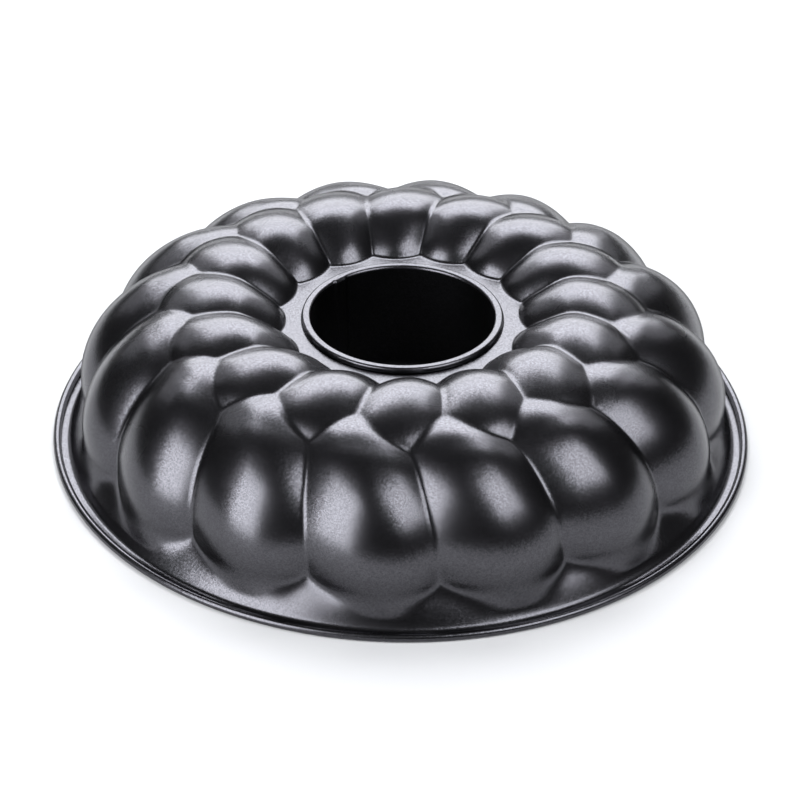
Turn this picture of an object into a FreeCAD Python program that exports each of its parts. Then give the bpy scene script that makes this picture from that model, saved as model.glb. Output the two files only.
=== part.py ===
import FreeCAD, Part
import math
import os

from FreeCAD import Vector

# A ring cake pan that stands upside down on its rim, as it is stored and turned out.
# The frame: +Z up along the axis of the centre tube, z = 0 on the plane that the flange
# and the rolled rim rest on. All lengths are in millimetres, all angles in degrees.
# A polar angle is counted from +X towards +Y.

# ---- driving dimensions ----
RIM_RADIUS = 140.0          # outside of the rolled rim
SHEET = 0.5                 # thickness of the steel sheet of the shell and the tube
WIRE_DIAMETER = 2.2         # wire inside the rolled rim
LOBES = 16                  # lobes in each of the two rows
LAND_HEIGHT = 49.5          # outside of the flat ring round the hole
JOINT_TOP = 51.8            # top of the rolled joint between tube and shell
TUBE_RADIUS_TOP = 36.2      # inner radius of the tube at the joint
TUBE_RADIUS_FREE = 34.6     # inner radius of the tube at its free end
TUBE_FREE_HEIGHT = 2.0      # the free end stays this far above the rest plane
CLEARANCE = 0.05            # gap between pieces that are rolled together

# ---- the lobed ring ----
# The creases between the lobes lie close to one surface of revolution. A station runs
# along its profile, from the land (0) over the crown and down the wall to the flange.
# Each row: station, radius, height, direction in which the lobes bulge (90 is straight up).
LAND = 0.00
FLANGE = 1.05
CREASE_PROFILE = (
    (LAND, 49.3, LAND_HEIGHT, 180.0),
    (0.08, 52.6, 52.4, 165.0),
    (0.16, 57.3, 55.4, 140.0),
    (0.25, 64.7, 59.4, 115.0),
    (0.34, 72.9, 60.4, 95.0),
    (0.42, 81.8, 58.9, 82.0),
    (0.50, 90.9, 55.9, 76.0),
    (0.58, 97.2, 52.65, 70.0),
    (0.66, 103.75, 49.25, 58.0),
    (0.74, 112.6, 42.05, 40.0),
    (0.82, 119.8, 32.0, 20.0),
    (0.89, 122.9, 21.3, 8.0),
    (0.95, 124.2, 12.8, 0.0),
    (1.00, 128.5, 6.8, 0.0),
    (FLANGE, 133.2, SHEET, 0.0),
)
# Angle of the crease after each lobe, counted from the tip of the first inner lobe.
INNER_CREASE = (
    (0.00, 12.9), (0.10, 12.3), (0.20, 11.6), (0.30, 10.9), (0.42, 9.15), (0.55, 7.75), (0.70, 6.5),
)
OUTER_CREASE = (
    (0.30, -3.4), (0.42, -2.1), (0.58, 0.2), (0.70, 2.25), (0.82, 4.0), (0.95, 5.1), (FLANGE, 5.75),
)
# Highest line of each row of lobes over the crease surface. Each row sinks below that
# surface past its own end, and the two rows meet where they are equally high.
INNER_CROWN = (
    (0.00, 3.3), (0.10, 3.8), (0.20, 3.7), (0.30, 3.7),
    (0.42, 3.4), (0.50, 2.25), (0.58, 0.0), (0.70, -5.0),
)
OUTER_CROWN = (
    (0.30, -6.0), (0.38, -1.95), (0.42, -0.45), (0.46, 1.4), (0.52, 3.35), (0.58, 4.45),
    (0.68, 5.4), (0.80, 6.0), (0.88, 6.45), (0.95, 5.5), (1.00, 2.0), (1.03, 0.0),
)
INNER_END = 0.42            # from here on, the sides of an inner lobe keep their depth
OUTER_END = 0.58            # and up to here, those of an outer lobe
LOBE_FOOT = 1.03            # station where an outer lobe has faded into the skirt
FOOT_START = 0.93           # from here on, an outer lobe narrows to a rounded foot
FOOT_WIDTH = 0.72           # width of that foot where it fades out, as a share of the pitch
FOOT_SOFTNESS = 0.4         # how gently the foot runs out into the skirt
INNER_FULLNESS = 2.05       # 2 is a parabola across a lobe, more is squarer
OUTER_FULLNESS = 1.9
OUTER_LEAN = 0.05           # down the wall, an outer lobe's highest line drifts past its middle
TIP_ANGLE = 1.89            # polar angle of the tip of the first inner lobe
PITCH = 360.0 / LOBES

# ---- grid of surface points in one sector ----
ROWS_OUTER = 24             # steps along an outer lobe
ROWS_INNER = 16             # steps along an inner lobe
COLUMNS = 8                 # steps across half a lobe
STEP = 0.004                # small step in station for a surface direction
SEEK_STEPS = 40             # halvings in a search for a meeting point
SEW_TOLERANCE = 0.002

# ---- rolled rim ----
CURL_INNER = WIRE_DIAMETER / 2
CURL_OUTER = CURL_INNER + SHEET
CURL_RADIUS = RIM_RADIUS - CURL_OUTER
CURL_END = 205.0            # direction of the curl's free edge, seen from the wire
FLANGE_MITRE = 0.52 * SHEET  # the inner corner at the flange lies this much nearer the axis
LAND_MITRE = 0.45 * SHEET   # the inner corner at the land lies this much further out

# ---- rolled joint between tube and shell: the tube's top is rolled over the collar's lip ----
NECK_INNER = TUBE_RADIUS_TOP + SHEET + CLEARANCE
NECK_OUTER = NECK_INNER + SHEET
NECK_BEND = 0.2             # outer radius of the bend from the land up into the collar
LIP_BEND = 0.4              # the same at the collar's lip
LIP_BOTTOM = JOINT_TOP - CLEARANCE - 2 * SHEET
ROLL_INNER = LIP_BEND + SHEET + CLEARANCE
ROLL_OUTER = ROLL_INNER + SHEET
FOLD_RADIUS = 38.6          # where the bead folds down outside the lip
FOLD_OUTER = 1.3
FOLD_INNER = FOLD_OUTER - SHEET
SKIRT_LEAN = 18.0           # the folded-down skirt leans outwards by this much
SKIRT_LENGTH = 1.15         # down to just above the land

# ---- free end and seam of the tube ----
HEM_OUTER = 1.0             # radius of the inward hem
HEM_LEG = 1.0               # straight end of the hem
SEAM_ANGLE = 134.4          # polar angle of the lap seam
SEAM_WIDTH = 6.0
SEAM_START = 1.5            # the inner layer of the seam starts this far above the hem


def natural_spline(nodes, column=1):
    """Return a function for the natural cubic spline through the nodes' column."""
    xs = [float(node[0]) for node in nodes]
    ys = [float(node[column]) for node in nodes]
    count = len(xs)
    second = [0.0] * count
    work = [0.0] * count
    for i in range(1, count - 1):
        ratio = (xs[i] - xs[i - 1]) / (xs[i + 1] - xs[i - 1])
        pivot = ratio * second[i - 1] + 2.0
        turn = (ys[i + 1] - ys[i]) / (xs[i + 1] - xs[i]) - (ys[i] - ys[i - 1]) / (xs[i] - xs[i - 1])
        second[i] = (ratio - 1.0) / pivot
        work[i] = (6.0 * turn / (xs[i + 1] - xs[i - 1]) - ratio * work[i - 1]) / pivot
    for i in range(count - 2, 0, -1):
        second[i] = second[i] * second[i + 1] + work[i]

    def value(x):
        i = 0
        while i < count - 2 and x > xs[i + 1]:
            i += 1
        gap = xs[i + 1] - xs[i]
        left = (xs[i + 1] - x) / gap
        right = (x - xs[i]) / gap
        bend = (left ** 3 - left) * second[i] + (right ** 3 - right) * second[i + 1]
        return left * ys[i] + right * ys[i + 1] + bend * gap * gap / 6.0

    return value


crease_radius = natural_spline(CREASE_PROFILE, 1)
crease_height = natural_spline(CREASE_PROFILE, 2)
bulge_direction = natural_spline(CREASE_PROFILE, 3)
inner_crease = natural_spline(INNER_CREASE)
outer_crease = natural_spline(OUTER_CREASE)
inner_crown = natural_spline(INNER_CROWN)
outer_crown = natural_spline(OUTER_CROWN)


def clamp(value, low, high):
    return max(low, min(high, value))


def inner_bulge(station, angle):
    """Height of the inner row over the crease surface."""
    across = ((angle - inner_crease(station)) / PITCH) % 1.0
    side = abs(2.0 * across - 1.0) ** INNER_FULLNESS
    return inner_crown(station) - inner_crown(min(station, INNER_END)) * side


def outer_bulge(station, angle):
    """Height of the outer row over the crease surface."""
    station = min(station, LOBE_FOOT)
    drift = clamp((station - INNER_END) / (1.0 - INNER_END), 0.0, 1.0)
    foot = clamp((station - FOOT_START) / (LOBE_FOOT - FOOT_START), 0.0, 1.0)
    across = ((angle - outer_crease(station)) / PITCH) % 1.0
    across -= 4.0 * OUTER_LEAN * drift * across * (1.0 - across)
    side = min(1.0, abs(2.0 * across - 1.0) / (1.0 - (1.0 - FOOT_WIDTH) * foot))
    swell = max(0.0, 1.0 - side ** OUTER_FULLNESS) ** (1.0 + FOOT_SOFTNESS * foot)
    return outer_crown(station) - outer_crown(max(station, OUTER_END)) * (1.0 - swell)


def skin_point(station, angle):
    """Point on the outside of the sheet. The angle is counted from the first inner tip."""
    if station < OUTER_CREASE[0][0]:
        bulge = inner_bulge(station, angle)
    elif station > INNER_CREASE[-1][0]:
        bulge = outer_bulge(station, angle)
    else:
        bulge = max(inner_bulge(station, angle), outer_bulge(station, angle))
    direction = math.radians(bulge_direction(station))
    radius = crease_radius(station) + bulge * math.cos(direction)
    height = crease_height(station) + bulge * math.sin(direction)
    turn = math.radians(TIP_ANGLE + angle)
    return Vector(radius * math.cos(turn), radius * math.sin(turn), height)


def inside_point(station, angle):
    """Point on the inside of the sheet, opposite skin_point."""
    point = skin_point(station, angle)
    radius = math.hypot(point.x, point.y)
    outward = Vector(point.x / radius, point.y / radius, 0.0)
    if station <= LAND:
        return point + outward * LAND_MITRE - Vector(0.0, 0.0, SHEET)
    if station >= FLANGE:
        return point - outward * FLANGE_MITRE - Vector(0.0, 0.0, SHEET)
    swing = math.degrees(STEP * 100.0 / radius)
    along = skin_point(min(station + STEP, FLANGE), angle) - skin_point(max(station - STEP, LAND), angle)
    around = skin_point(station, angle + swing) - skin_point(station, angle - swing)
    normal = along.cross(around)
    normal.normalize()
    return point - normal * SHEET


def meeting_station(angle_of):
    """Station where the two rows are equally high along the line angle = angle_of(station)."""
    low = OUTER_CREASE[0][0]
    high = INNER_CREASE[-1][0]
    for _ in range(SEEK_STEPS):
        middle = (low + high) / 2.0
        if outer_bulge(middle, angle_of(middle)) < inner_bulge(middle, angle_of(middle)):
            low = middle
        else:
            high = middle
    return (low + high) / 2.0


# where an outer lobe ends between two inner ones, and the share of the way across it there
BRANCH = meeting_station(inner_crease)
BRANCH_SHARE = (inner_crease(BRANCH) - outer_crease(BRANCH)) / PITCH


def mix(start, end, share):
    return start + (end - start) * share


def seam(across):
    """(station, angle) on the zigzag between the rows; half way across is the branch."""
    if across < 0.5:
        share = mix(0.0, BRANCH_SHARE, 2.0 * across)
    else:
        share = mix(BRANCH_SHARE, 1.0, 2.0 * across - 1.0)
    station = meeting_station(lambda place: outer_crease(place) + PITCH * share)
    return station, outer_crease(station) + PITCH * share


def half_lobe(half, start, crease, offset, rows):
    """Grid of (station, angle) places on half a lobe, from its start to the zigzag."""
    grid = []
    for i in range(rows + 1):
        row = []
        for j in range(COLUMNS + 1):
            across = (half + j / COLUMNS) / 2.0
            end_station, end_angle = seam(across)
            end_share = (end_angle - crease(end_station)) / PITCH
            station = mix(start, end_station, i / rows)
            share = mix(across + offset, end_share, i / rows)
            row.append((station, crease(station) + PITCH * share))
        grid.append(row)
    return grid


def sector_grids():
    """The halves of one outer and one inner lobe, which together fill one sector."""
    grids = []
    for half in (0, 1):
        grids.append(half_lobe(half, FLANGE, outer_crease, 0.0, ROWS_OUTER))
        grids.append(half_lobe(half, LAND, inner_crease, -0.5, ROWS_INNER))
    return grids


def spline_poles(points):
    curve = Part.BSplineCurve()
    curve.interpolate(Points=points, Parameters=[float(i) for i in range(len(points))])
    return curve.getPoles()


def spline_face(points):
    """Face through a grid of points. Its edges depend only on the points along them."""
    row_poles = [spline_poles(row) for row in points]
    columns = [spline_poles(list(column)) for column in zip(*row_poles)]
    poles = [list(row) for row in zip(*columns)]
    knots_up = [float(i) for i in range(len(points))]
    knots_over = [float(i) for i in range(len(points[0]))]
    surface = Part.BSplineSurface()
    surface.buildFromPolesMultsKnots(
        poles,
        [4] + [1] * (len(knots_up) - 2) + [4],
        [4] + [1] * (len(knots_over) - 2) + [4],
        knots_up,
        knots_over,
        False,
        False,
        3,
        3,
    )
    return surface.toShape()


def turned(shape, angle):
    copy = shape.copy()
    copy.rotate(Vector(0, 0, 0), Vector(0, 0, 1), angle)
    return copy


def end_wire(faces, height):
    """Closed wire of the faces' edges that lie in the plane at this height."""
    edges = []
    for face in faces:
        for edge in face.Edges:
            box = edge.BoundBox
            if abs(box.ZMin - height) < SEW_TOLERANCE and abs(box.ZMax - height) < SEW_TOLERANCE:
                edges.append(edge)
    return Part.Wire(Part.__sortEdges__(edges))


def circle_wire(radius, height):
    return Part.Wire(Part.makeCircle(radius, Vector(0, 0, height)))


def at(radius, height):
    return Vector(radius, 0.0, height)


def around(centre, radius, direction):
    turn = math.radians(direction)
    return Vector(centre.x + radius * math.cos(turn), 0.0, centre.z + radius * math.sin(turn))


def arc(centre, radius, start, end):
    middle = (start + end) / 2.0
    points = [around(centre, radius, direction) for direction in (start, middle, end)]
    return Part.Arc(*points).toShape()


def line(start, end):
    return Part.LineSegment(start, end).toShape()


def revolved_faces(edges):
    faces = []
    for edge in edges:
        faces.extend(edge.revolve(Vector(0, 0, 0), Vector(0, 0, 1), 360).Faces)
    return faces


def solid_from(faces):
    shape = Part.Compound(faces)
    shape.sewShape(SEW_TOLERANCE)
    solid = Part.makeSolid(shape.Shells[0])
    if solid.Volume < 0:
        solid.reverse()
    return solid


def rim_edges():
    """The curl round the wire, from the flange's upper side round to its lower side."""
    wire = at(CURL_RADIUS, CURL_OUTER)
    return [
        arc(wire, CURL_INNER, -90.0, 90.0),
        arc(wire, CURL_INNER, 90.0, CURL_END),
        line(around(wire, CURL_INNER, CURL_END), around(wire, CURL_OUTER, CURL_END)),
        arc(wire, CURL_OUTER, CURL_END, 90.0),
        arc(wire, CURL_OUTER, 90.0, -90.0),
    ]


def collar_edges():
    """The upturned collar and its lip, from the upper side of the land round to the lower."""
    root = at(NECK_OUTER + NECK_BEND, LAND_HEIGHT + NECK_BEND)
    lip = at(NECK_OUTER + LIP_BEND, LIP_BOTTOM - LIP_BEND)
    return [
        arc(root, NECK_BEND, 270.0, 180.0),
        line(around(root, NECK_BEND, 180.0), around(lip, LIP_BEND, 180.0)),
        arc(lip, LIP_BEND, 180.0, 90.0),
        line(around(lip, LIP_BEND, 90.0), at(FOLD_RADIUS, LIP_BOTTOM)),
        line(at(FOLD_RADIUS, LIP_BOTTOM), at(FOLD_RADIUS, LIP_BOTTOM + SHEET)),
        line(at(FOLD_RADIUS, LIP_BOTTOM + SHEET), around(lip, LIP_BEND + SHEET, 90.0)),
        arc(lip, LIP_BEND + SHEET, 90.0, 180.0),
        line(around(lip, LIP_BEND + SHEET, 180.0), around(root, NECK_BEND + SHEET, 180.0)),
        arc(root, NECK_BEND + SHEET, 180.0, 270.0),
    ]


def pan_shell():
    """The pressed sheet: land and collar, two rows of lobes, flange and rolled rim."""
    outside = []
    inside = []
    for places in sector_grids():
        outer_face = spline_face([[skin_point(*place) for place in row] for row in places])
        inner_face = spline_face([[inside_point(*place) for place in row] for row in places])
        for lobe in range(LOBES):
            outside.append(turned(outer_face, PITCH * lobe))
            inside.append(turned(inner_face, PITCH * lobe))
    collar_radius = NECK_OUTER + NECK_BEND
    plates = [
        Part.Face([end_wire(outside, LAND_HEIGHT), circle_wire(collar_radius, LAND_HEIGHT)]),
        Part.Face([end_wire(inside, LAND_HEIGHT - SHEET), circle_wire(collar_radius, LAND_HEIGHT - SHEET)]),
        Part.Face([circle_wire(CURL_RADIUS, SHEET), end_wire(outside, SHEET)]),
        Part.Face([circle_wire(CURL_RADIUS, 0.0), end_wire(inside, 0.0)]),
    ]
    return solid_from(outside + inside + plates + revolved_faces(rim_edges() + collar_edges()))


def centre_tube():
    """The conical tube, with the bead that closes over the collar's lip, its hem and its lap seam."""
    roll = at(TUBE_RADIUS_TOP + ROLL_OUTER, JOINT_TOP - ROLL_OUTER)
    fold = at(FOLD_RADIUS, JOINT_TOP - FOLD_OUTER)
    lean = math.radians(SKIRT_LEAN)
    skirt = Vector(math.sin(lean), 0.0, -math.cos(lean)) * SKIRT_LENGTH
    hem = at(TUBE_RADIUS_FREE + SHEET - HEM_OUTER, TUBE_FREE_HEIGHT + HEM_OUTER)
    hem_inner = HEM_OUTER - SHEET
    leg = Vector(0, 0, HEM_LEG)
    outline = [
        arc(roll, ROLL_OUTER, 180.0, 90.0),
        line(around(roll, ROLL_OUTER, 90.0), around(fold, FOLD_OUTER, 90.0)),
        arc(fold, FOLD_OUTER, 90.0, SKIRT_LEAN),
        line(around(fold, FOLD_OUTER, SKIRT_LEAN), around(fold, FOLD_OUTER, SKIRT_LEAN) + skirt),
        line(around(fold, FOLD_OUTER, SKIRT_LEAN) + skirt, around(fold, FOLD_INNER, SKIRT_LEAN) + skirt),
        line(around(fold, FOLD_INNER, SKIRT_LEAN) + skirt, around(fold, FOLD_INNER, SKIRT_LEAN)),
        arc(fold, FOLD_INNER, SKIRT_LEAN, 90.0),
        line(around(fold, FOLD_INNER, 90.0), around(roll, ROLL_INNER, 90.0)),
        arc(roll, ROLL_INNER, 90.0, 180.0),
        line(around(roll, ROLL_INNER, 180.0), around(hem, HEM_OUTER, 0.0)),
        arc(hem, HEM_OUTER, 0.0, -180.0),
        line(around(hem, HEM_OUTER, 180.0), around(hem, HEM_OUTER, 180.0) + leg),
        line(around(hem, HEM_OUTER, 180.0) + leg, around(hem, hem_inner, 180.0) + leg),
        line(around(hem, hem_inner, 180.0) + leg, around(hem, hem_inner, 180.0)),
        arc(hem, hem_inner, -180.0, 0.0),
        line(around(hem, hem_inner, 0.0), around(roll, ROLL_OUTER, 180.0)),
    ]
    tube = Part.Face(Part.Wire(outline)).revolve(Vector(0, 0, 0), Vector(0, 0, 1), 360)
    return tube.fuse(seam_layer())


def seam_layer():
    """The inner layer of the tube's lap seam, a strip against the inside of the wall."""
    low = TUBE_FREE_HEIGHT + HEM_OUTER + SEAM_START
    high = JOINT_TOP - ROLL_OUTER
    wall_height = high - TUBE_FREE_HEIGHT - HEM_OUTER
    low_radius = mix(TUBE_RADIUS_FREE, TUBE_RADIUS_TOP, SEAM_START / wall_height)
    outline = Part.makePolygon([
        at(low_radius - SHEET, low),
        at(low_radius + SHEET / 2, low),
        at(TUBE_RADIUS_TOP + SHEET / 2, high),
        at(TUBE_RADIUS_TOP - SHEET, high),
        at(low_radius - SHEET, low),
    ])
    width = math.degrees(SEAM_WIDTH / TUBE_RADIUS_TOP)
    strip = Part.Face(outline).revolve(Vector(0, 0, 0), Vector(0, 0, 1), width)
    return turned(strip, SEAM_ANGLE - width / 2)


def rim_wire():
    """The wire that stiffens the rim, a closed ring inside the curl."""
    return Part.makeTorus(CURL_RADIUS, CURL_INNER - CLEARANCE, Vector(0, 0, CURL_OUTER))


def write_part(name, shape):
    print(name, "valid" if shape.isValid() else "NOT VALID", "solids", len(shape.Solids),
          "faces", len(shape.Faces), "volume", round(shape.Volume))
    shape.exportStep("parts/" + name + ".step")


os.makedirs("parts", exist_ok=True)
write_part("pan_shell", pan_shell())
write_part("centre_tube", centre_tube())
write_part("rim_wire", rim_wire())
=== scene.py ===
import math

import bpy
import numpy as np
from mathutils import Matrix, Vector


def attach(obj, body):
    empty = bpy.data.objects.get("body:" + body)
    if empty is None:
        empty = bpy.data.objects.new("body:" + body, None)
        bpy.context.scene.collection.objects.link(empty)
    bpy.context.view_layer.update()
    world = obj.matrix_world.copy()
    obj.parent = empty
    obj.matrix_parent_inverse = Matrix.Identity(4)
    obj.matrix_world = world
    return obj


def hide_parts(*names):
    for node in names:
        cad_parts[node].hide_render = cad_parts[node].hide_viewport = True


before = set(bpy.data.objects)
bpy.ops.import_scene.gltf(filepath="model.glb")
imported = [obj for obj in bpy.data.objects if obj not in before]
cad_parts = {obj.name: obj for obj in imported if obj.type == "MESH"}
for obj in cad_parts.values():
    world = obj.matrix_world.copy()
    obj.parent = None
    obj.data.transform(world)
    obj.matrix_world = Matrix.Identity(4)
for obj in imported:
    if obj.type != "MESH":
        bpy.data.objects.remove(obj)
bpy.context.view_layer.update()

# Lengths in the pan's own functions are in millimetres, as in the part's source.
MM = 0.001

# ---- driving dimensions of the pan, as in the part's source ----
RIM_RADIUS = 140.0          # outside of the rolled rim
SHEET = 0.5                 # thickness of the steel sheet
WIRE_DIAMETER = 2.2         # wire inside the rolled rim
LOBES = 16                  # lobes in each of the two rows
LAND_HEIGHT = 49.5          # outside of the flat ring round the hole
JOINT_TOP = 51.8            # top of the rolled joint between tube and shell
TUBE_RADIUS_TOP = 36.2      # inner radius of the tube at the joint
TUBE_RADIUS_FREE = 34.6     # inner radius of the tube at its free end
TUBE_FREE_HEIGHT = 2.0
CLEARANCE = 0.05
TIP_ANGLE = 1.89            # polar angle of the tip of the first inner lobe
PITCH = 360.0 / LOBES

# ---- the lobed ring: station, radius, height, direction in which the lobes bulge ----
LAND = 0.00
FLANGE = 1.05
CREASE_PROFILE = (
    (LAND, 49.3, LAND_HEIGHT, 180.0),
    (0.08, 52.6, 52.4, 165.0),
    (0.16, 57.3, 55.4, 140.0),
    (0.25, 64.7, 59.4, 115.0),
    (0.34, 72.9, 60.4, 95.0),
    (0.42, 81.8, 58.9, 82.0),
    (0.50, 90.9, 55.9, 76.0),
    (0.58, 97.2, 52.65, 70.0),
    (0.66, 103.75, 49.25, 58.0),
    (0.74, 112.6, 42.05, 40.0),
    (0.82, 119.8, 32.0, 20.0),
    (0.89, 122.9, 21.3, 8.0),
    (0.95, 124.2, 12.8, 0.0),
    (1.00, 128.5, 6.8, 0.0),
    (FLANGE, 133.2, SHEET, 0.0),
)
INNER_CREASE = (
    (0.00, 12.9), (0.10, 12.3), (0.20, 11.6), (0.30, 10.9), (0.42, 9.15), (0.55, 7.75), (0.70, 6.5),
)
OUTER_CREASE = (
    (0.30, -3.4), (0.42, -2.1), (0.58, 0.2), (0.70, 2.25), (0.82, 4.0), (0.95, 5.1), (FLANGE, 5.75),
)
INNER_CROWN = (
    (0.00, 3.3), (0.10, 3.8), (0.20, 3.7), (0.30, 3.7),
    (0.42, 3.4), (0.50, 2.25), (0.58, 0.0), (0.70, -5.0),
)
OUTER_CROWN = (
    (0.30, -6.0), (0.38, -1.95), (0.42, -0.45), (0.46, 1.4), (0.52, 3.35), (0.58, 4.45),
    (0.68, 5.4), (0.80, 6.0), (0.88, 6.45), (0.95, 5.5), (1.00, 2.0), (1.03, 0.0),
)
INNER_END = 0.42
OUTER_END = 0.58
LOBE_FOOT = 1.03
FOOT_START = 0.93
FOOT_WIDTH = 0.72
FOOT_SOFTNESS = 0.4
FOOT_ONSET = 0.25           # share of the foot over which its rounding sets in
INNER_FULLNESS = 2.05
OUTER_FULLNESS = 1.9
OUTER_LEAN = 0.05
NO_LOBE = -99.0             # height given to a row of lobes beyond its end, so that the other row shows

# ---- what the press leaves rounded ----
CREASE_BLEND = 1.2          # lobes side by side are rounded together where their heights differ by less
SEAM_BLEND = 1.0            # the same, between the two rows of lobes
FOOT_BLEND = 0.35           # the same, round a lobe's foot, as a share of the lobe's height
LAND_FILLET = (1.4, 0.022)  # reach of the rounded corner round the land: along it, and in station
FLANGE_FILLET = (1.6, 0.010)  # and of the one round the flange

# ---- mesh of the shell ----
COLUMNS = 32                # across one lobe
ROWS_INNER = 32
ROWS_OUTER = 48
ROWS_FILLET = 5
ROWS_LAND = 2
ROWS_FLANGE = 2
ROWS_BEND = 3               # round a small bend
ROWS_END = 3                # round the cut edge of a sheet
ROWS_CURL = 16              # round the outside of the curl at the rim
ROWS_CURL_INSIDE = 8
COLUMN_CROWDING = 0.45      # how far columns draw together near both ends of a run, from 0 to 1
INNER_CROWDING = 0.5        # the same for the rows of the inner lobes
OUTER_CROWDING = 0.3        # and for those of the outer ones
BISECTIONS = 40             # steps in the search for the zigzag between the rows
BRANCH_RANGE = (0.2, 0.8)   # shares of the way across an outer lobe between which it ends

# ---- rolled rim and rolled joint ----
CURL_INNER = WIRE_DIAMETER / 2
CURL_OUTER = CURL_INNER + SHEET
CURL_RADIUS = RIM_RADIUS - CURL_OUTER
CURL_END = 205.0
NECK_INNER = TUBE_RADIUS_TOP + SHEET + CLEARANCE
NECK_OUTER = NECK_INNER + SHEET
NECK_BEND = 0.2
LIP_BEND = 0.4
LIP_BOTTOM = JOINT_TOP - CLEARANCE - 2 * SHEET
ROLL_INNER = LIP_BEND + SHEET + CLEARANCE
ROLL_OUTER = ROLL_INNER + SHEET
FOLD_RADIUS = 38.6
FOLD_OUTER = 1.3
FOLD_INNER = FOLD_OUTER - SHEET
SKIRT_LEAN = 18.0
SKIRT_LENGTH = 1.15
HEM_OUTER = 1.0
HEM_LEG = 1.0
SEAM_ANGLE = 134.4
SEAM_WIDTH = 6.0
SEAM_START = 1.5


def natural_spline(nodes, column=1):
    """Return a function for the natural cubic spline through the nodes' column."""
    xs = np.array([node[0] for node in nodes])
    ys = np.array([node[column] for node in nodes])
    gaps = np.diff(xs)
    count = len(xs)
    system = np.eye(count)
    turns = np.zeros(count)
    for i in range(1, count - 1):
        system[i, i - 1:i + 2] = gaps[i - 1], 2.0 * (gaps[i - 1] + gaps[i]), gaps[i]
        turns[i] = 6.0 * ((ys[i + 1] - ys[i]) / gaps[i] - (ys[i] - ys[i - 1]) / gaps[i - 1])
    second = np.linalg.solve(system, turns)

    def value(x):
        x = np.asarray(x, float)
        i = np.clip(np.searchsorted(xs, x) - 1, 0, count - 2)
        gap = gaps[i]
        left = (xs[i + 1] - x) / gap
        right = (x - xs[i]) / gap
        bend = (left ** 3 - left) * second[i] + (right ** 3 - right) * second[i + 1]
        return left * ys[i] + right * ys[i + 1] + bend * gap * gap / 6.0

    return value


crease_radius = natural_spline(CREASE_PROFILE, 1)
crease_height = natural_spline(CREASE_PROFILE, 2)
bulge_direction = natural_spline(CREASE_PROFILE, 3)
inner_crease = natural_spline(INNER_CREASE)
outer_crease = natural_spline(OUTER_CREASE)
inner_crown = natural_spline(INNER_CROWN)
outer_crown = natural_spline(OUTER_CROWN)


def mix(start, end, share):
    return start + (end - start) * share


def soft_max(a, b, reach):
    """The larger of two, rounded where they differ by less than reach."""
    near = np.maximum(reach - np.abs(a - b), 0.0) / reach
    return np.maximum(a, b) + near * near * reach / 4.0


def inner_height(station, across):
    """Height of one inner lobe over the crease surface; across runs from 0 to 1."""
    side = np.abs(2.0 * across - 1.0) ** INNER_FULLNESS
    return inner_crown(station) - inner_crown(np.minimum(station, INNER_END)) * side


def outer_height(station, across):
    """Height of one outer lobe over the crease surface; across runs from 0 to 1."""
    station = np.minimum(station, LOBE_FOOT)
    drift = np.clip((station - INNER_END) / (1.0 - INNER_END), 0.0, 1.0)
    foot = np.clip((station - FOOT_START) / (LOBE_FOOT - FOOT_START), 0.0, 1.0)
    across = across - 4.0 * OUTER_LEAN * drift * across * (1.0 - across)
    side = np.abs(2.0 * across - 1.0) / (1.0 - (1.0 - FOOT_WIDTH) * foot)
    swell = 1.0 - side ** OUTER_FULLNESS
    rounded = np.maximum(soft_max(swell, 0.0, FOOT_BLEND), 1e-6) ** (1.0 + FOOT_SOFTNESS * foot)
    swell = np.where(foot > 0.0, mix(swell, rounded, np.minimum(foot / FOOT_ONSET, 1.0)), swell)
    return outer_crown(station) - outer_crown(np.maximum(station, OUTER_END)) * (1.0 - swell)


def row_height(station, angle, crease, height, reach):
    """Height of a whole row of lobes, each rounded into its neighbours."""
    across = ((angle - crease(station)) / PITCH) % 1.0
    here = height(station, across)
    beside = np.maximum(height(station, across - 1.0), height(station, across + 1.0))
    return soft_max(here, beside, reach)


def skin(station, angle):
    """Radius and height of the outside of the sheet. The angle is from the first inner tip."""
    inner = row_height(station, angle, inner_crease, inner_height, CREASE_BLEND)
    outer = row_height(station, angle, outer_crease, outer_height, CREASE_BLEND)
    inner = np.where(station > INNER_CREASE[-1][0], NO_LOBE, inner)
    outer = np.where(station < OUTER_CREASE[0][0], NO_LOBE, outer)
    bulge = soft_max(inner, outer, SEAM_BLEND)
    direction = np.radians(bulge_direction(station))
    radius = crease_radius(station) + bulge * np.cos(direction)
    height = crease_height(station) + bulge * np.sin(direction)
    return radius, height


def sharp_gap(station, share):
    """How much higher the outer row is, at a share of the way across an outer lobe."""
    angle = outer_crease(station) + PITCH * share
    across = ((angle - inner_crease(station)) / PITCH) % 1.0
    return outer_height(station, share) - inner_height(station, across)


def seam_station(share):
    """Station of the zigzag where the two rows are equally high."""
    low = np.full(np.shape(share), OUTER_CREASE[0][0])
    high = np.full(np.shape(share), INNER_CREASE[-1][0])
    for _ in range(BISECTIONS):
        middle = (low + high) / 2.0
        below = sharp_gap(middle, share) < 0.0
        low = np.where(below, middle, low)
        high = np.where(below, high, middle)
    return (low + high) / 2.0


def branch_share():
    """Share of the way across an outer lobe where it ends, between two inner lobes."""
    low, high = BRANCH_RANGE
    for _ in range(BISECTIONS):
        middle = (low + high) / 2.0
        station = seam_station(middle)
        if outer_crease(station) + PITCH * middle < inner_crease(station):
            low = middle
        else:
            high = middle
    return (low + high) / 2.0


def graded(count, crowding):
    """Shares from 0 up to 1, count steps, closer together near both ends."""
    even = np.arange(count + 1) / count
    return even - crowding * np.sin(2.0 * math.pi * even) / (2.0 * math.pi)


def at(radius, height):
    """Point in the (radius, height) plane."""
    return np.array([radius, height])


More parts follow.
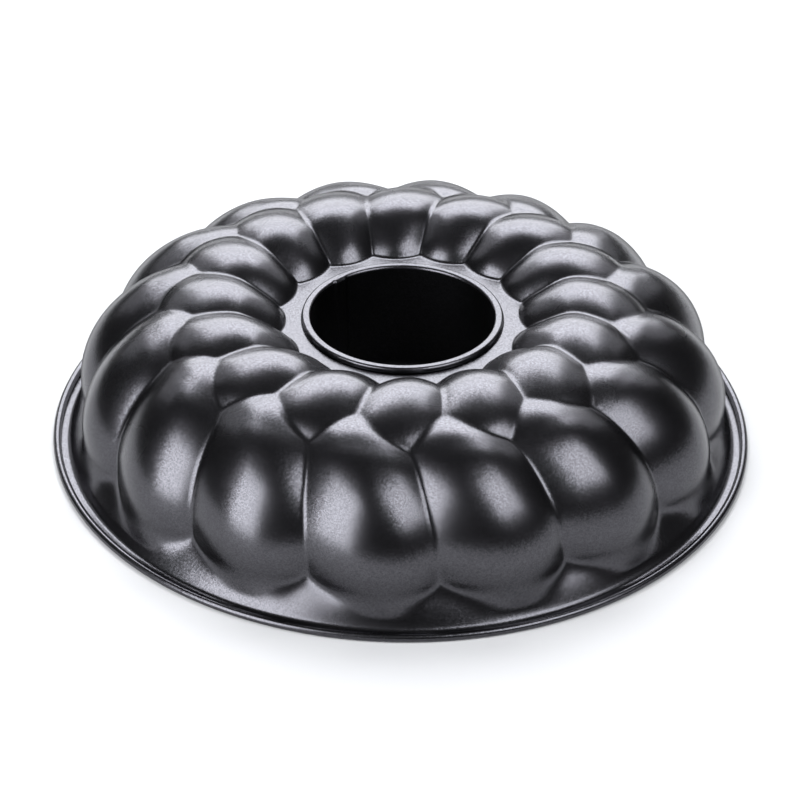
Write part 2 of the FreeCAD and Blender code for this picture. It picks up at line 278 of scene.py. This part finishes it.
def arc(centre, radius, start, end, count):
    """Points on an arc in the (radius, height) plane."""
    turns = np.radians(np.linspace(start, end, count + 1))
    return np.stack([centre[0] + radius * np.cos(turns), centre[1] + radius * np.sin(turns)], 1)


def grid_object(name, points, cut=None):
    """Closed mesh from a grid of points whose rows and columns both close."""
    rows, columns = points.shape[:2]
    index = np.arange(rows * columns).reshape(rows, columns)
    up = np.roll(index, -1, 0)
    quads = np.stack([index, up, np.roll(up, -1, 1), np.roll(index, -1, 1)], -1).reshape(-1, 4)
    mesh = bpy.data.meshes.new(name)
    mesh.vertices.add(rows * columns)
    mesh.vertices.foreach_set("co", (points * MM).astype(np.float32).ravel())
    mesh.loops.add(quads.size)
    mesh.loops.foreach_set("vertex_index", quads.astype(np.int32).ravel())
    mesh.polygons.add(len(quads))
    mesh.polygons.foreach_set("loop_start", np.arange(0, quads.size, 4, dtype=np.int32))
    mesh.update(calc_edges=True)
    mesh.validate()
    mesh.polygons.foreach_set("use_smooth", np.ones(len(mesh.polygons), bool))
    item = bpy.data.objects.new(name, mesh)
    bpy.context.scene.collection.objects.link(item)
    return item


def polar(radius, height, angle):
    """Points from radius, height and polar angle in degrees."""
    turn = np.radians(angle)
    radius, height, turn = np.broadcast_arrays(radius, height, turn)
    return np.stack([radius * np.cos(turn), radius * np.sin(turn), height], -1)


def around(centre, radius, direction):
    """Point at a distance from the centre, in a direction in degrees, in the same plane."""
    turn = math.radians(direction)
    return at(centre[0] + radius * math.cos(turn), centre[1] + radius * math.sin(turn))


# ---- the shell ----
def lobed_rows():
    """Stations and angles of the lobed ring's grid, one sector, from the land to the flange."""
    branch = branch_share()
    half = graded(COLUMNS // 2, COLUMN_CROWDING)
    even = np.concatenate([half[:-1] * 0.5, 0.5 + half[:-1] * 0.5])
    share = np.where(even < 0.5, even * 2.0 * branch, mix(branch, 1.0, even * 2.0 - 1.0))
    seam = seam_station(share)
    seam_across = (outer_crease(seam) + PITCH * share - inner_crease(seam)) / PITCH
    stations = [np.full(COLUMNS, LAND)]
    angles = [inner_crease(stations[0]) + PITCH * (even - 0.5)]
    for run in graded(ROWS_INNER, INNER_CROWDING)[:-1]:
        station = mix(LAND + LAND_FILLET[1], seam, run)
        stations.append(station)
        angles.append(inner_crease(station) + PITCH * mix(even - 0.5, seam_across, run))
    for run in graded(ROWS_OUTER, OUTER_CROWDING):
        station = mix(seam, FLANGE - FLANGE_FILLET[1], run)
        stations.append(station)
        angles.append(outer_crease(station) + PITCH * mix(share, even, run))
    stations.append(np.full(COLUMNS, FLANGE))
    angles.append(outer_crease(stations[-1]) + PITCH * even)
    return np.array(stations), np.array(angles)


def rounded_corner(start, corner, end):
    """Rows on a smooth curve from start to end, pulled towards the corner."""
    rows = []
    for run in np.arange(ROWS_FILLET) / ROWS_FILLET:
        rows.append((1 - run) ** 2 * start + 2 * run * (1 - run) * corner + run ** 2 * end)
    return rows


def outer_skin():
    """Grid of points on the outside of the sheet, from the land's inner edge to the curl."""
    stations, angles = lobed_rows()
    radius, height = skin(stations, angles)
    radius = np.tile(radius, (1, LOBES))
    height = np.tile(height, (1, LOBES))
    turn = np.concatenate([angles + PITCH * lobe for lobe in range(LOBES)], 1) + TIP_ANGLE
    lobed = polar(radius, height, turn)
    inward = polar(-np.ones_like(radius), 0.0, turn)
    land_edge = lobed[0] + inward[0] * LAND_FILLET[0]
    flange_edge = lobed[-1] - inward[-1] * FLANGE_FILLET[0]
    land_start = polar(NECK_OUTER + NECK_BEND, LAND_HEIGHT, turn[0])
    flange_end = polar(CURL_RADIUS, SHEET, turn[-1])
    rows = [mix(land_start, land_edge, run) for run in np.arange(ROWS_LAND) / ROWS_LAND]
    rows += rounded_corner(land_edge, lobed[0], lobed[1])
    rows += list(lobed[1:-2])
    rows += rounded_corner(lobed[-2], lobed[-1], flange_edge)
    rows += [mix(flange_edge, flange_end, run) for run in np.arange(ROWS_FLANGE + 1) / ROWS_FLANGE]
    return np.array(rows), turn[0], turn[-1]


def skin_normals(points):
    """Unit normals of a grid of points whose columns close, pointing out of the sheet."""
    along = np.gradient(points, axis=0)
    sideways = np.roll(points, -1, 1) - np.roll(points, 1, 1)
    normals = np.cross(along, sideways)
    return normals / np.linalg.norm(normals, axis=2, keepdims=True)


def lathe_rows(profile, turn):
    """One row of points round the axis for each point of the profile."""
    return [polar(point[0], point[1], turn) for point in profile]


def make_shell():
    skin_points, land_turn, flange_turn = outer_skin()
    normals = skin_normals(skin_points)
    normals[0] = normals[-1] = (0.0, 0.0, 1.0)
    inside = (skin_points - normals * SHEET)[::-1]
    inside = np.concatenate([inside[:-1:2], inside[-1:]])  # every second row is enough in there
    wire = at(CURL_RADIUS, CURL_OUTER)
    curl_edge = around(wire, CURL_INNER + SHEET / 2, CURL_END)
    rim = np.concatenate([
        arc(wire, CURL_INNER, -90.0, CURL_END, ROWS_CURL_INSIDE)[1:],
        arc(curl_edge, SHEET / 2, CURL_END + 180.0, CURL_END, ROWS_END)[1:-1],
        arc(wire, CURL_OUTER, CURL_END, -90.0, ROWS_CURL)[:-1],
    ])
    root = at(NECK_OUTER + NECK_BEND, LAND_HEIGHT + NECK_BEND)
    lip = at(NECK_OUTER + LIP_BEND, LIP_BOTTOM - LIP_BEND)
    tip = at(FOLD_RADIUS - SHEET / 2, LIP_BOTTOM + SHEET / 2)
    collar = np.concatenate([
        arc(root, NECK_BEND + SHEET, 270.0, 180.0, ROWS_BEND)[1:],
        arc(lip, LIP_BEND + SHEET, 180.0, 90.0, ROWS_BEND),
        arc(tip, SHEET / 2, 90.0, -90.0, ROWS_END),
        arc(lip, LIP_BEND, 90.0, 180.0, ROWS_BEND),
        arc(root, NECK_BEND, 180.0, 270.0, ROWS_BEND)[:-1],
    ])
    rows = list(skin_points) + lathe_rows(rim, flange_turn)
    rows += list(inside) + lathe_rows(collar, land_turn)
    shell = grid_object("shell", np.array(rows))
    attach(shell, "root")
    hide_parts("pan_shell")
    return shell


# ---- the tube ----
TUBE_STEP = 1.5             # degrees between the tube's columns
SEAM_STEPS = 8              # columns across the lap seam
SEAM_EDGE = 0.35            # degrees over which the seam's edge rises
WALL_ROWS = 12
ROWS_ROLL = 12
ROWS_FOLD = 8
ROWS_HEM = 8
ROWS_HEM_INSIDE = 6
ROWS_LEG_END = 4


def tube_profile():
    """The tube's section and how far the lap seam's inner layer lifts each point of it.

    It runs from the free end up inside, over the collar's lip and back down outside."""
    roll = at(TUBE_RADIUS_TOP + ROLL_OUTER, JOINT_TOP - ROLL_OUTER)
    fold = at(FOLD_RADIUS, JOINT_TOP - FOLD_OUTER)
    skirt_end = around(fold, FOLD_OUTER - SHEET / 2, SKIRT_LEAN)
    skirt_end = around(skirt_end, SKIRT_LENGTH - SHEET / 2, SKIRT_LEAN - 90.0)
    hem = at(TUBE_RADIUS_FREE + SHEET - HEM_OUTER, TUBE_FREE_HEIGHT + HEM_OUTER)
    hem_inner = HEM_OUTER - SHEET
    leg_end = at(hem[0] - HEM_OUTER + SHEET / 2, hem[1] + HEM_LEG)
    wall_low = at(hem[0] + hem_inner, hem[1])
    wall_top = around(roll, ROLL_OUTER, 180.0)
    seam_low = mix(wall_low, wall_top, SEAM_START / (wall_top[1] - wall_low[1]))
    wall = np.linspace(seam_low, wall_top, WALL_ROWS + 1)
    over = arc(roll, ROLL_OUTER, 180.0, 90.0, ROWS_ROLL)
    back = np.linspace(around(roll, ROLL_INNER, 180.0), around(hem, HEM_OUTER, 0.0), WALL_ROWS + 1)
    parts = [
        (arc(hem, hem_inner, -180.0, 0.0, ROWS_HEM_INSIDE)[:-1], 0.0),
        ([wall_low, seam_low], 0.0),
        (wall[:-1], SHEET),
        (over, SHEET * np.linspace(1.0, 0.0, len(over))),
        (arc(fold, FOLD_OUTER, 90.0, SKIRT_LEAN, ROWS_FOLD), 0.0),
        (arc(skirt_end, SHEET / 2, SKIRT_LEAN, SKIRT_LEAN - 180.0, ROWS_END), 0.0),
        (arc(fold, FOLD_INNER, SKIRT_LEAN, 90.0, ROWS_FOLD), 0.0),
        (arc(roll, ROLL_INNER, 90.0, 180.0, ROWS_ROLL)[:-1], 0.0),
        (back[:-1], 0.0),
        (arc(hem, HEM_OUTER, 0.0, -180.0, ROWS_HEM), 0.0),
        (arc(leg_end, SHEET / 2, 180.0, 0.0, ROWS_LEG_END), 0.0),
    ]
    lift = np.concatenate([np.broadcast_to(height, len(points)) for points, height in parts])
    return np.concatenate([points for points, _ in parts]), lift


def tube_columns():
    """Polar angles of the tube's columns, and how far the seam is there at each, 0 or 1."""
    width = math.degrees(SEAM_WIDTH / TUBE_RADIUS_TOP)
    start = SEAM_ANGLE - width / 2
    plain = np.linspace(start + width, start + 360.0, round((360.0 - width) / TUBE_STEP) + 1)
    layer = np.linspace(start + SEAM_EDGE, start + width - SEAM_EDGE, SEAM_STEPS + 1)
    seam = np.concatenate([np.zeros(len(plain)), np.ones(len(layer))])
    return np.concatenate([plain, layer]), seam


def make_tube():
    profile, lift = tube_profile()
    turn, seam = tube_columns()
    run = np.roll(profile, -1, 0) - np.roll(profile, 1, 0)
    side = np.stack([-run[:, 1], run[:, 0]], 1) / np.linalg.norm(run, axis=1, keepdims=True)
    lifted = profile[:, None, :] + side[:, None, :] * lift[:, None, None] * seam[None, :, None]
    points = polar(lifted[..., 0], lifted[..., 1], turn[None, :])
    tube = grid_object("tube", points)
    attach(tube, "root")
    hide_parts("centre_tube")
    return tube


shell = make_shell()
tube = make_tube()


# ---- finish ----
COATING_COLOR = (0.0600, 0.0592, 0.0648)
FLAKE_COLOR = (0.0920, 0.0908, 0.0993)
COATING_ROUGHNESS = (0.25, 0.28)  # from its smoother to its duller patches
# As the coat turns away from the eye, from the first value of Facing to the second, its
# specular tint goes from the third number to the fourth, which darkens its outlines.
EDGE_SHADE = (0.76, 0.92, 1.0, 0.25)
FLAKE_SIZE = 0.42           # millimetres between the metallic flakes in the coating
FLAKE_TILT = 0.045          # how far a flake can lean out of the surface
RIPPLE_SIZE = 2.2           # millimetres between the waves of the sprayed coat
RIPPLE_TILT = 0.006
PATCH_SIZE = 24.0           # millimetres across a duller patch
PATCH_RANGE = (0.3, 0.7)    # noise values between which a patch goes from smooth to dull
# Painted shade: the bore's colours are far darker than the coat outside and stand in for the shade deep
# inside the tube.
BORE_SHADE_COLOR = (0.006, 0.006, 0.0065)
BORE_FLAKE_SHADE_COLOR = (0.011, 0.011, 0.012)
BORE_ROUGHNESS = (0.5, 0.6)
WIRE_COLORS = ((0.36, 0.36, 0.37), (0.52, 0.52, 0.53))
WIRE_ROUGHNESS = 0.28
LINES_AROUND = 3.0          # density of the drawing lines along the wire, per radian
LINES_ACROSS = 9000.0       # and across it, per metre
LINES_DETAIL = 4.0


class Nodes:
    """A material's node tree, with short calls to add to it."""

    def __init__(self, name):
        self.material = bpy.data.materials.new(name)
        self.material.use_nodes = True
        self.tree = self.material.node_tree
        self.shader = self.tree.nodes["Principled BSDF"]
        self.place = self.add("ShaderNodeTexCoord").outputs["Object"]

    def add(self, kind, inputs=None, **settings):
        """A new node; an input gets a socket to link or a value to hold."""
        item = self.tree.nodes.new(kind)
        for name, value in settings.items():
            setattr(item, name, value)
        for key, value in (inputs or {}).items():
            self.feed(item.inputs[key], value)
        return item

    def feed(self, socket, value):
        if isinstance(value, bpy.types.NodeSocket):
            self.tree.links.new(value, socket)
        else:
            socket.default_value = value

    def noise(self, vector, scale, detail=2.0):
        return self.add("ShaderNodeTexNoise", {"Vector": vector, "Scale": scale, "Detail": detail})

    def ramp(self, value, low, high, start, end):
        """Value from low..high stretched over start..end, and held beyond."""
        inputs = {"Value": value, "From Min": low, "From Max": high, "To Min": start, "To Max": end}
        return self.add("ShaderNodeMapRange", inputs).outputs["Result"]

    def lean(self, color, amount):
        """Vector that leans by amount in the random direction that a colour stands for."""
        inputs = {0: color, 1: (0.5, 0.5, 0.5)}
        centred = self.add("ShaderNodeVectorMath", inputs, operation="SUBTRACT")
        scaled = {0: centred.outputs[0], "Scale": amount}
        return self.add("ShaderNodeVectorMath", scaled, operation="SCALE").outputs[0]

    def tilt_surface(self, *leans):
        """Let the vectors tilt the shader's normal."""
        normal = self.add("ShaderNodeNewGeometry").outputs["Normal"]
        for vector in leans:
            both = {0: normal, 1: vector}
            normal = self.add("ShaderNodeVectorMath", both, operation="ADD").outputs[0]
        unit = self.add("ShaderNodeVectorMath", {0: normal}, operation="NORMALIZE")
        self.feed(self.shader.inputs["Normal"], unit.outputs[0])

    def mix_colors(self, share, first, second):
        item = self.add("ShaderNodeMix", data_type="RGBA")
        self.feed(item.inputs[0], share)
        self.feed(item.inputs[6], (*first, 1.0))
        self.feed(item.inputs[7], (*second, 1.0))
        return item.outputs[2]


def coating(name, color, flake_color, roughness):
    """Satin dark coating: fine metallic flakes in a sprayed coat with a slight ripple."""
    nodes = Nodes(name)
    density = 1.0 / (FLAKE_SIZE * MM)
    flakes = nodes.add("ShaderNodeTexVoronoi", {"Vector": nodes.place, "Scale": density})
    ripple = nodes.noise(nodes.place, 1.0 / (RIPPLE_SIZE * MM))
    patches = nodes.noise(nodes.place, 1.0 / (PATCH_SIZE * MM))
    glint = nodes.add("ShaderNodeSeparateColor", {"Color": flakes.outputs["Color"]}).outputs["Red"]
    nodes.feed(nodes.shader.inputs["Base Color"], nodes.mix_colors(glint, color, flake_color))
    rough = nodes.ramp(patches.outputs[0], *PATCH_RANGE, *roughness)
    nodes.feed(nodes.shader.inputs["Roughness"], rough)
    nodes.shader.inputs["Metallic"].default_value = 1.0
    turned_away = nodes.add("ShaderNodeLayerWeight").outputs["Facing"]
    nodes.feed(nodes.shader.inputs["Specular Tint"], nodes.ramp(turned_away, *EDGE_SHADE))
    nodes.tilt_surface(
        nodes.lean(flakes.outputs["Color"], FLAKE_TILT),
        nodes.lean(ripple.outputs["Color"], RIPPLE_TILT),
    )
    return nodes.material


def drawn_steel():
    """Bright wire with fine lines from the drawing die along it."""
    nodes = Nodes("drawn_steel")
    parts = nodes.add("ShaderNodeSeparateXYZ", {"Vector": nodes.place}).outputs
    sides = {0: parts["Y"], 1: parts["X"]}
    angle = nodes.add("ShaderNodeMath", sides, operation="ARCTAN2").outputs[0]
    flat = nodes.add("ShaderNodeCombineXYZ", {"X": parts["X"], "Y": parts["Y"]}).outputs[0]
    radius = nodes.add("ShaderNodeVectorMath", {0: flat}, operation="LENGTH").outputs["Value"]
    spread = []
    densities = ((angle, LINES_AROUND), (radius, LINES_ACROSS), (parts["Z"], LINES_ACROSS))
    for value, density in densities:
        product = nodes.add("ShaderNodeMath", {0: value, 1: density}, operation="MULTIPLY")
        spread.append(product.outputs[0])
    along = nodes.add("ShaderNodeCombineXYZ", {"X": spread[0], "Y": spread[1], "Z": spread[2]})
    lines = nodes.noise(along.outputs[0], 1.0, LINES_DETAIL)
    nodes.feed(nodes.shader.inputs["Base Color"], nodes.mix_colors(lines.outputs[0], *WIRE_COLORS))
    nodes.shader.inputs["Metallic"].default_value = 1.0
    nodes.shader.inputs["Roughness"].default_value = WIRE_ROUGHNESS
    nodes.tilt_surface(nodes.lean(lines.outputs["Color"], FLAKE_TILT))
    return nodes.material


def cover(item, material):
    """Put one material on the whole piece."""
    item.data.materials.clear()
    item.data.materials.append(material)


def shade_bore(item, material):
    """Put a second, much darker material on the tube's wall inside the bore: painted shade of the deep
    tube.
    """
    item.data.materials.append(material)
    inner = TUBE_RADIUS_TOP + SHEET / 2
    top = JOINT_TOP - ROLL_OUTER
    for face in item.data.polygons:
        centre = face.center / MM
        faces_axis = face.normal.x * centre.x + face.normal.y * centre.y < 0.0
        if faces_axis and math.hypot(centre.x, centre.y) < inner and centre.z < top:
            face.material_index = 1


coat = coating("coating", COATING_COLOR, FLAKE_COLOR, COATING_ROUGHNESS)
cover(shell, coat)
cover(tube, coat)
# The bore gets painted shade: a much darker coat on the tube's wall inside it.
shade_bore(tube, coating("bore_painted_shade", BORE_SHADE_COLOR, BORE_FLAKE_SHADE_COLOR, BORE_ROUGHNESS))
cover(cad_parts["rim_wire"], drawn_steel())


# ---- stage ----
FLOOR_GREY = 0.66
FLOOR_REACH = 3.0           # metres from the pan to the middle of the floor's edge


def make_floor():
    mesh = bpy.data.meshes.new("floor")
    near, far = -FLOOR_REACH, FLOOR_REACH
    corners = [(near, near, 0), (far, near, 0), (far, far, 0), (near, far, 0)]
    mesh.from_pydata(corners, [], [(0, 1, 2, 3)])
    floor = bpy.data.objects.new("floor", mesh)
    bpy.context.scene.collection.objects.link(floor)
    material = bpy.data.materials.new("floor")
    material.use_nodes = True
    shader = material.node_tree.nodes["Principled BSDF"]
    shader.inputs["Base Color"].default_value = (FLOOR_GREY, FLOOR_GREY, FLOOR_GREY, 1.0)
    shader.inputs["Specular IOR Level"].default_value = 0.0
    mesh.materials.append(material)


make_floor()

CAMERA_ELEVATION = 34.091
CAMERA_ROLL = 0.89
CAMERA_DISTANCE = 0.9482
CAMERA_LENS = 105.59
CAMERA_SENSOR = 36.0
CAMERA_TARGET = (-0.00049, 0.0, 0.01057)


def make_camera():
    elevation = math.radians(CAMERA_ELEVATION)
    roll = math.radians(CAMERA_ROLL)
    forward = Vector((0.0, math.cos(elevation), -math.sin(elevation)))
    level_up = Vector((0.0, math.sin(elevation), math.cos(elevation)))
    right = Vector((1.0, 0.0, 0.0)) * math.cos(roll) + level_up * math.sin(roll)
    up = level_up * math.cos(roll) - Vector((1.0, 0.0, 0.0)) * math.sin(roll)
    camera = bpy.data.objects.new("camera", bpy.data.cameras.new("camera"))
    bpy.context.scene.collection.objects.link(camera)
    turn = Matrix((right, up, -forward)).transposed()
    camera.matrix_world = Matrix.LocRotScale(
        Vector(CAMERA_TARGET) - forward * CAMERA_DISTANCE, turn.to_quaternion(), None
    )
    camera.data.sensor_width = CAMERA_SENSOR
    camera.data.lens = CAMERA_LENS
    bpy.context.scene.camera = camera


make_camera()

# Soft boxes: name, azimuth (0 behind the pan, 90 to its right), elevation, distance,
# width, height, radiance
SOFT_BOXES = (
    ("back", -2.0, 38.0, 1.3, 1.25, 1.15, 5.5),
    ("back_top", -2.0, 52.0, 1.3, 1.2, 0.65, 2.3),
    ("back_sides", -5.0, 38.0, 1.3, 2.6, 0.9, 0.8),
    ("left", -133.0, 25.5, 1.2, 0.74, 1.09, 7.5),
    ("right", 129.5, 45.5, 1.2, 0.70, 0.70, 5.9),
)
FILL = 0.05                 # radiance of the studio's walls
LAMP_COLOR = (0.98, 0.995, 1.03)  # slightly cool


def make_lights():
    for name, azimuth, elevation, distance, width, height, radiance in SOFT_BOXES:
        lamp = bpy.data.lights.new(name, "AREA")
        lamp.shape = "RECTANGLE"
        lamp.size = width
        lamp.size_y = height
        lamp.energy = radiance * math.pi * width * height
        lamp.color = LAMP_COLOR
        item = bpy.data.objects.new(name, lamp)
        turn = math.radians(azimuth)
        rise = math.radians(elevation)
        level = math.cos(rise)
        away = Vector((math.sin(turn) * level, math.cos(turn) * level, math.sin(rise)))
        item.location = away * distance
        item.rotation_euler = away.to_track_quat("Z", "Y").to_euler()
        bpy.context.scene.collection.objects.link(item)
    world = bpy.data.worlds.new("studio")
    bpy.context.scene.world = world
    world.use_nodes = True
    background = world.node_tree.nodes["Background"]
    background.inputs["Color"].default_value = (1.0, 1.0, 1.0, 1.0)
    background.inputs["Strength"].default_value = FILL


make_lights()
bpy.context.scene.view_settings.view_transform = "Standard"
